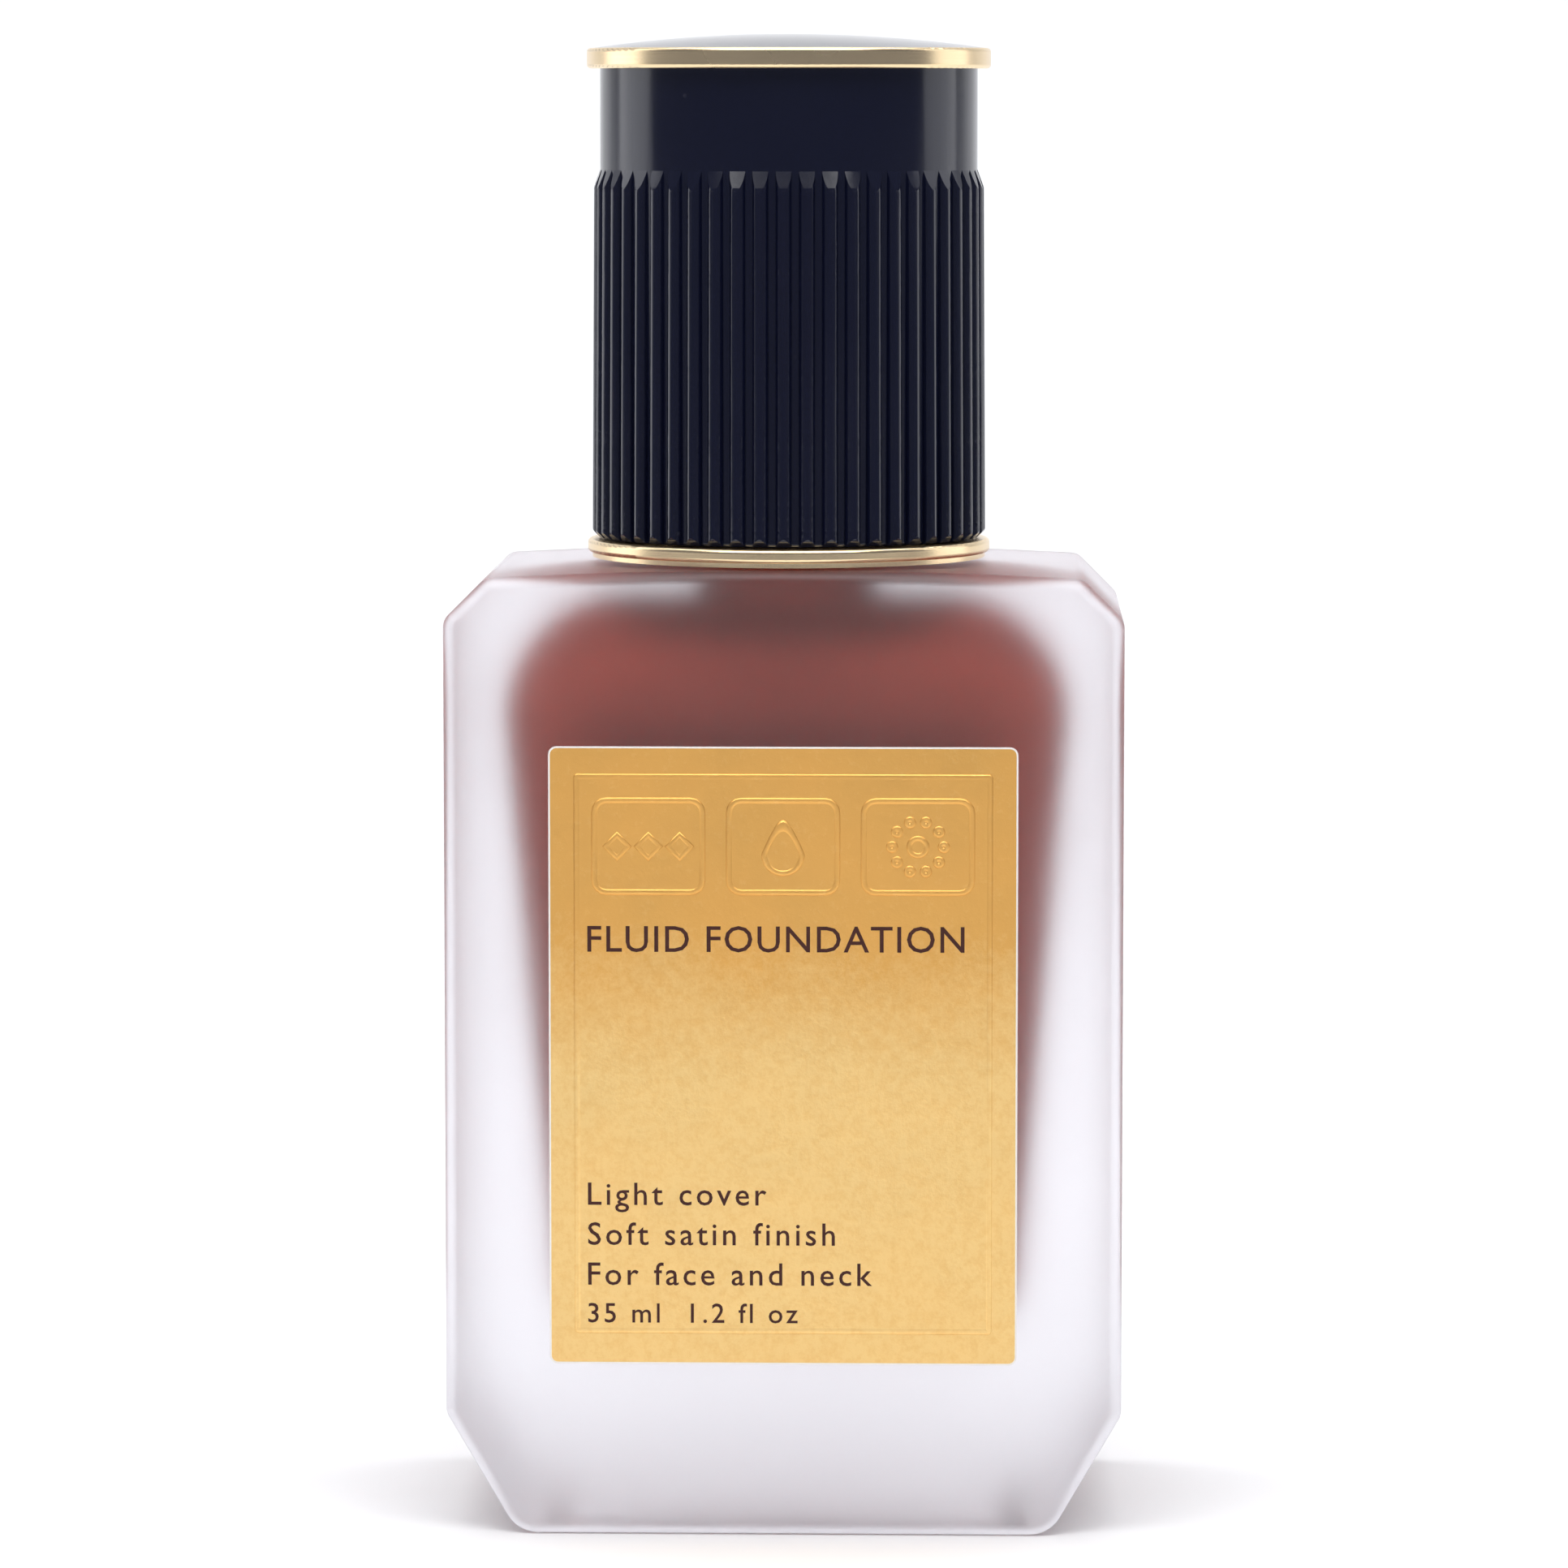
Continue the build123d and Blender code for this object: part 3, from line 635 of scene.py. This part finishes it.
painted_reflection_and_grain = math_node(tree, "ADD")
tree.links.new(painted_dark_reflection.outputs["Result"], painted_reflection_and_grain.inputs[0])
tree.links.new(speckle.outputs["Result"], painted_reflection_and_grain.inputs[1])
# The painted dark reflection on the upper foil, plus the real grain speckle, sets the foil
# colour.
tint_by(tree, shader, painted_reflection_and_grain.outputs[0], FOIL_PALE, FOIL_PAINTED_DARK_AND_GRAIN)
foil_roughness = ramp_node(tree, 0.3, 0.7, 0.46, 0.56)
tree.links.new(cockle.outputs["Fac"], foil_roughness.inputs["Value"])
tree.links.new(foil_roughness.outputs["Result"], shader.inputs["Roughness"])
relief = math_node(tree, "MULTIPLY_ADD", COCKLE_SHARE)
tree.links.new(cockle.outputs["Fac"], relief.inputs[0])
tree.links.new(grain.outputs["Fac"], relief.inputs[2])
bump_into(tree, shader, relief.outputs[0], 0.8, 0.03 * MM)
print("gold_foil:", len(tree.nodes), "nodes")

# %% [markdown]
# The cut edge of the label shows white **paper**, and the print is a thin, slightly uneven film
# of **ink**. Both are one noise that tints the colour and roughens the surface a little, so one
# helper makes both.


# %% Paper and ink
def mottled(name, colour, roughness, scale, detail, tints, bump, **settings):
    made, tree, shader = finish_of(name, colour, roughness, **settings)
    mottle = noise_node(tree, scale, *detail)
    on_object(tree, mottle)
    tint_by(tree, shader, mottle.outputs["Fac"], *tints)
    bump_into(tree, shader, mottle.outputs["Fac"], *bump)
    return made


paper_tints = ((0.90, 0.87, 0.83), (0.78, 0.74, 0.68))
paper_bump = (0.3, 0.02 * MM)
paper = mottled(
    "label_paper", (0.86, 0.83, 0.78), 0.85, 1800.0, (5.0, 0.7), paper_tints, paper_bump
)
ink_tints = ((0.036, 0.008, 0.007), (0.075, 0.024, 0.018))
ink_bump = (0.2, 0.01 * MM)
ink = mottled(
    "brown_ink",
    (0.045, 0.010, 0.009),
    0.5,
    2400.0,
    (3.0,),
    ink_tints,
    ink_bump,
    Specular_IOR_Level=0.25,
)
print("label finishes:", foil.name, paper.name, ink.name)

# %% [markdown]
# A plate is a plane whose corners are bevelled: one step cuts them off, several round them.
# It is extruded to a closed slab. A disc is a filled circle that is extruded the same way, and
# with only four points it is a lozenge. Sizes are given in millimetres.


# %% Flat slabs
def thicken(thick):
    bpy.ops.mesh.select_all(action="SELECT")
    bpy.ops.mesh.extrude_region_move(TRANSFORM_OT_translate={"value": (0, 0, thick * MM)})
    bpy.ops.object.mode_set(mode="OBJECT")


def plate(name, left, right, foot, head, corner, steps, thick):
    clear_selection()
    middle = ((left + right) / 2 * MM, (foot + head) / 2 * MM, 0)
    bpy.ops.mesh.primitive_plane_add(size=1, location=middle)
    slab = bpy.context.object
    slab.name = name
    slab.scale = ((right - left) * MM, (head - foot) * MM, 1)
    bpy.ops.object.transform_apply(location=True, rotation=True, scale=True)
    bpy.ops.object.mode_set(mode="EDIT")
    bpy.ops.mesh.select_all(action="SELECT")
    bpy.ops.mesh.bevel(offset=corner * MM, segments=steps, affect="VERTICES")
    thicken(thick)
    return slab


def disc(name, across, up, radius, points, thick):
    clear_selection()
    bpy.ops.mesh.primitive_circle_add(
        vertices=points, radius=radius * MM, fill_type="NGON", location=(across * MM, up * MM, 0)
    )
    slab = bpy.context.object
    slab.name = name
    bpy.ops.object.transform_apply(location=True, rotation=True, scale=True)
    bpy.ops.object.mode_set(mode="EDIT")
    thicken(thick)
    return slab


print("plate and disc ready")

# %% [markdown]
# The sheet takes its size from the label's solid. An inset on its top face leaves a narrow
# border of bare paper round the foil, as the cut edge of a real label shows.

# %% The sheet
SHEET_THICK = 0.06
SHEET_CORNER = 0.6
SHEET_CORNER_STEPS = 5
FOIL_MARGIN = 0.13
LEVEL = 0.0001 * MM
label_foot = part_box("front_label")[0].z / MM
label_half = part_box("front_label")[1].x / MM
label_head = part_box("front_label")[1].z / MM
label_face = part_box("front_label")[1].y


def select_top(slab):
    top = max(corner.co.z for corner in slab.data.vertices)
    pick(slab)
    bpy.ops.object.mode_set(mode="EDIT")
    bpy.ops.mesh.select_mode(type="FACE")
    bpy.ops.mesh.select_all(action="DESELECT")
    bpy.ops.object.mode_set(mode="OBJECT")
    for face in slab.data.polygons:
        face.select = all(slab.data.vertices[i].co.z > top - LEVEL for i in face.vertices)
    bpy.ops.object.mode_set(mode="EDIT")


outline = (-label_half, label_half, label_foot, label_head)
sheet = plate("label_sheet", *outline, SHEET_CORNER, SHEET_CORNER_STEPS, SHEET_THICK)
sheet.data.materials.append(paper)
sheet.data.materials.append(foil)
select_top(sheet)
bpy.ops.mesh.inset(thickness=FOIL_MARGIN * MM, depth=0)
bpy.ops.object.mode_set(mode="OBJECT")
for face in sheet.data.polygons:
    face.material_index = 1 if face.select else 0
print("sheet:", len(sheet.data.polygons), "faces")

# %% [markdown]
# A ridge follows the edge of a slab: four narrow insets, of which the first two climb and the
# last two come down again, give it a rounded section, and smooth shading does the rest. A last
# inset drops the middle of the slab under the foil, so that only the ridge stands out of it.

# %% A ridge round a slab
RIDGE_RISE = 0.055
RIDGE_SINK = 0.02
RIDGE_STEPS = (0.72, 0.28, -0.28, -0.72)
DROP_IN = 0.01
DROP_SHARE = 0.75
UPRIGHT = 0.2
LEVEL_NORMAL = 0.9999


def raise_ridge(slab, width, rise):
    select_top(slab)
    for share in RIDGE_STEPS:
        bpy.ops.mesh.inset(thickness=width / 4 * MM, depth=rise * share * MM)
    bpy.ops.mesh.inset(thickness=DROP_IN * MM, depth=-RIDGE_SINK * DROP_SHARE * MM)
    bpy.ops.object.mode_set(mode="OBJECT")
    for face in slab.data.polygons:
        face.use_smooth = UPRIGHT < face.normal.z < LEVEL_NORMAL
    return slab


print("raise_ridge ready")

# %% [markdown]
# The pattern is plain decoration: a frame, and three equal panels that hold a row of lozenges, a
# drop and a small flower of dots. Each shape is a slab with a ridge.

# %% Frame and panels
ridges = []


def ridge_plate(name, left, right, foot, head, corner, steps, width, rise=RIDGE_RISE):
    slab = plate(name, left, right, foot, head, corner, steps, RIDGE_SINK)
    ridges.append(raise_ridge(slab, width, rise))


FRAME_HALF = 15.4
FRAME_FOOT = label_foot + 2.28
FRAME_HEAD = label_head - 2.0
FRAME_RISE = 0.045
FRAME_CORNER = 0.25
FRAME_RIDGE = 0.42
PANEL_FOOT = 47.72
PANEL_HEAD = 54.95
PANEL_WIDTH = 8.4
PANEL_STEP = 9.9
PANEL_CORNER = 1.1
PANEL_RIDGE = 0.44

frame_outline = (-FRAME_HALF, FRAME_HALF, FRAME_FOOT, FRAME_HEAD)
ridge_plate("frame_ridge", *frame_outline, FRAME_CORNER, 2, FRAME_RIDGE, FRAME_RISE)
for middle in (-PANEL_STEP, 0.0, PANEL_STEP):
    outline = (middle - PANEL_WIDTH / 2, middle + PANEL_WIDTH / 2, PANEL_FOOT, PANEL_HEAD)
    ridge_plate("panel_ridge", *outline, PANEL_CORNER, 4, PANEL_RIDGE)
print("frame and panels:", len(ridges))

# %% [markdown]
# Each motif is a disc with a ridge. The drop starts round, and the points above its middle are
# lifted by the square of their height and drawn in, which gives it a tip.

# %% Motifs
MOTIF_HEIGHT = (PANEL_FOOT + PANEL_HEAD) / 2
LOZENGE_STEP = 2.3
LOZENGE_RADIUS = 1.1
LOZENGE_RIDGE = 0.34
DROP_RADIUS = 1.6
DROP_RIDGE = 0.42
DROP_HEIGHT = 50.75
DROP_LIFT = 0.38
DROP_TAPER = 0.22
PETALS = 10
PETAL_REACH = 1.9
EYE_RADIUS = 0.85
DOT_RADIUS = 0.46
FLOWER_RIDGE = 0.4


def ridge_disc(name, across, up, radius, points, width):
    slab = disc(name, across, up, radius, points, RIDGE_SINK)
    ridges.append(raise_ridge(slab, width, RIDGE_RISE))
    return slab


for across in (-PANEL_STEP - LOZENGE_STEP, -PANEL_STEP, -PANEL_STEP + LOZENGE_STEP):
    ridge_disc("lozenge", across, MOTIF_HEIGHT, LOZENGE_RADIUS, 4, LOZENGE_RIDGE)

drop = ridge_disc("drop", 0.0, DROP_HEIGHT, DROP_RADIUS, 32, DROP_RIDGE)
for corner in drop.data.vertices:
    above = max(0.0, corner.co.y / MM - DROP_HEIGHT)
    corner.co.y += DROP_LIFT * above**2 * MM
    corner.co.x *= 1 - DROP_TAPER * above

ridge_disc("flower_eye", PANEL_STEP, MOTIF_HEIGHT, EYE_RADIUS, 20, FLOWER_RIDGE)
for petal in range(PETALS):
    angle = 2 * math.pi * petal / PETALS
    across = PANEL_STEP + PETAL_REACH * math.cos(angle)
    up = MOTIF_HEIGHT + PETAL_REACH * math.sin(angle)
    ridge_disc("flower_dot", across, up, DOT_RADIUS, 12, FLOWER_RIDGE)
print("frame, panels and motifs:", len(ridges))

# %% [markdown]
# The slabs are lifted until their rims end two thousandths of a millimetre under the foil. At
# exactly the same height, slab and foil would fight for the same place and flicker.

# %% Set the ridges into the sheet
UNDER_FOIL = 0.002

for slab in ridges:
    slab.data.materials.append(foil)
    for corner in slab.data.vertices:
        corner.co.z += (SHEET_THICK - RIDGE_SINK - UNDER_FOIL) * MM
print("ridges set:", len(ridges))

# %% [markdown]
# ## The print
#
# The print is a few plain words about what is inside, in dark brown ink. A text object gives
# the letters. It gets a hair of thickness and is then made a mesh.

# %% Printed lines
INK_THICK = 0.006
INK_ABOVE_FOIL = 0.001
INK_SPREAD = 0.012
CAPITAL_SHARE = 0.70
LEFT_EDGE = -14.4
SMALL_TYPE = 1.68
SMALL_SPACING = 1.2


def printed_line(words, baseline, cap_height=SMALL_TYPE, spacing=SMALL_SPACING):
    clear_selection()
    bpy.ops.object.text_add(location=(0, 0, 0))
    line = bpy.context.object
    line.name = "print_line"
    line.data.body = words
    line.data.size = cap_height / CAPITAL_SHARE * MM
    line.data.space_character = spacing
    line.data.extrude = INK_THICK / 2 * MM
    line.data.offset = INK_SPREAD * MM
    line.data.resolution_u = 3
    bpy.ops.object.convert(target="MESH")
    line = bpy.context.object
    low = min(corner.co.x for corner in line.data.vertices)
    for corner in line.data.vertices:
        corner.co.x += LEFT_EDGE * MM - low
        corner.co.y += baseline * MM
        corner.co.z += (SHEET_THICK + INK_THICK / 2 + INK_ABOVE_FOIL) * MM
    line.data.materials.clear()
    line.data.materials.append(ink)
    reach = max(corner.co.x for corner in line.data.vertices) / MM
    tall = max(corner.co.y for corner in line.data.vertices) / MM - baseline
    print("line", repr(words), "ends at", round(reach, 2), "height", round(tall, 2))
    return line


lines = [
    printed_line("FLUID FOUNDATION", 43.55, 1.93, 1.08),
    printed_line("Light cover", 24.73),
    printed_line("Soft satin finish", 21.75),
    printed_line("For face and neck", 18.76),
    printed_line("35 ml  1.2 fl oz", 15.95, 1.45),
]

# %% [markdown]
# The label and its print are now stood up: a quarter turn about X brings the printed side to
# face -Y, and the back of the paper goes to the face of the glass.


# %% Stand the label against the glass
def stand_up(pieces, name):
    pick(pieces[0])
    for piece in pieces[1:]:
        piece.select_set(True)
    if len(pieces) > 1:
        bpy.ops.object.join()
    whole = bpy.context.object
    whole.name = name
    whole.rotation_euler = (math.pi / 2, 0, 0)
    whole.location = (0, label_face, 0)
    bpy.ops.object.transform_apply(location=True, rotation=True, scale=True)
    return whole


label = stand_up([sheet] + ridges, "label_sheet")
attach(label, "bottle")
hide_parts("front_label")
letters = stand_up(lines, "label_print")
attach(letters, "bottle")
for piece in (label, letters):
    low = min(corner.co.y for corner in piece.data.vertices)
    print(piece.name, len(piece.data.polygons), "faces, front at", round(low / MM, 3))

# %% [markdown]
# ## The return spring
#
# The spring under the plunger is a wire wound five times. The section of the wire is a small
# circle, and the Screw modifier winds it. When the actuator is pressed the coil closes.

# %% The spring
spring_low, spring_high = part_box("return_spring")
WIRE = 0.22 * MM
WIRE_SIDES = 12
COILS = 5
STEPS_A_TURN = 40
WIRE_CREASE = math.radians(40)
coil_radius = spring_high.x - WIRE
coil_foot = spring_low.z + WIRE
coil_pitch = (spring_high.z - spring_low.z - 2 * WIRE) / COILS

clear_selection()
bpy.ops.mesh.primitive_circle_add(
    vertices=WIRE_SIDES,
    radius=WIRE,
    fill_type="NOTHING",
    location=(coil_radius, 0, coil_foot),
    rotation=(math.pi / 2, 0, 0),
)
spring = bpy.context.object
spring.name = "spring_coil"
bpy.ops.object.transform_apply(location=True, rotation=True, scale=True)
winding = spring.modifiers.new("winding", "SCREW")
winding.axis = "Z"
winding.angle = 2 * math.pi
winding.screw_offset = coil_pitch
winding.iterations = COILS
winding.steps = STEPS_A_TURN
winding.render_steps = STEPS_A_TURN
bpy.ops.object.modifier_apply(modifier="winding")
print("wound faces:", len(spring.data.polygons))

# %% [markdown]
# The modifier leaves the two ends of the wire open. Their edges are the only ones that belong to
# a single face, so they can be picked out as non-manifold and filled. Then all faces are turned
# outwards, because a screw can wind a shape inside out.

# %% Close the ends of the wire
bpy.ops.object.mode_set(mode="EDIT")
bpy.ops.mesh.select_mode(type="EDGE")
bpy.ops.mesh.select_all(action="DESELECT")
bpy.ops.mesh.select_non_manifold(extend=False, use_boundary=True)
bpy.ops.mesh.edge_face_add()
bpy.ops.mesh.select_all(action="SELECT")
bpy.ops.mesh.normals_make_consistent(inside=False)
bpy.ops.object.mode_set(mode="OBJECT")
bpy.ops.object.shade_smooth_by_angle(angle=WIRE_CREASE)
spring.data.materials.append(stainless)
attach(spring, "pump")
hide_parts("return_spring")
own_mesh(spring)
print("spring faces:", len(spring.data.polygons))

# %% [markdown]
# ## Dress the solid parts
#
# The parts from CAD keep their shapes. Each only gets its finish, in the material slots that it
# already has.

# %% Dress the solid parts
dress = {
    "glass_bottle": frosted,
    "overcap_shell": cap_black,
    "overcap_disc": disc_black,
    "overcap_liner": liner_black,
    "overcap_rim": pale_gold,
    "shoulder_ring": pale_gold,
    "collar_shell": pale_gold,
    "actuator_sleeve": pale_gold,
    "screw_closure": closure_black,
    "actuator_core": closure_black,
    "spout_tip": closure_black,
    "pump_housing": pump_natural,
    "dip_tube": tube_natural,
    "pump_lock_ring": pump_white,
    "pump_stem": pump_white,
    "stem_post": pump_white,
    "pump_piston": piston_white,
    "neck_gasket": gasket_grey,
    "inlet_ball": stainless,
}
for name, material in dress.items():
    for slot in nodes[name].material_slots:
        slot.material = material
print("dressed:", len(dress))
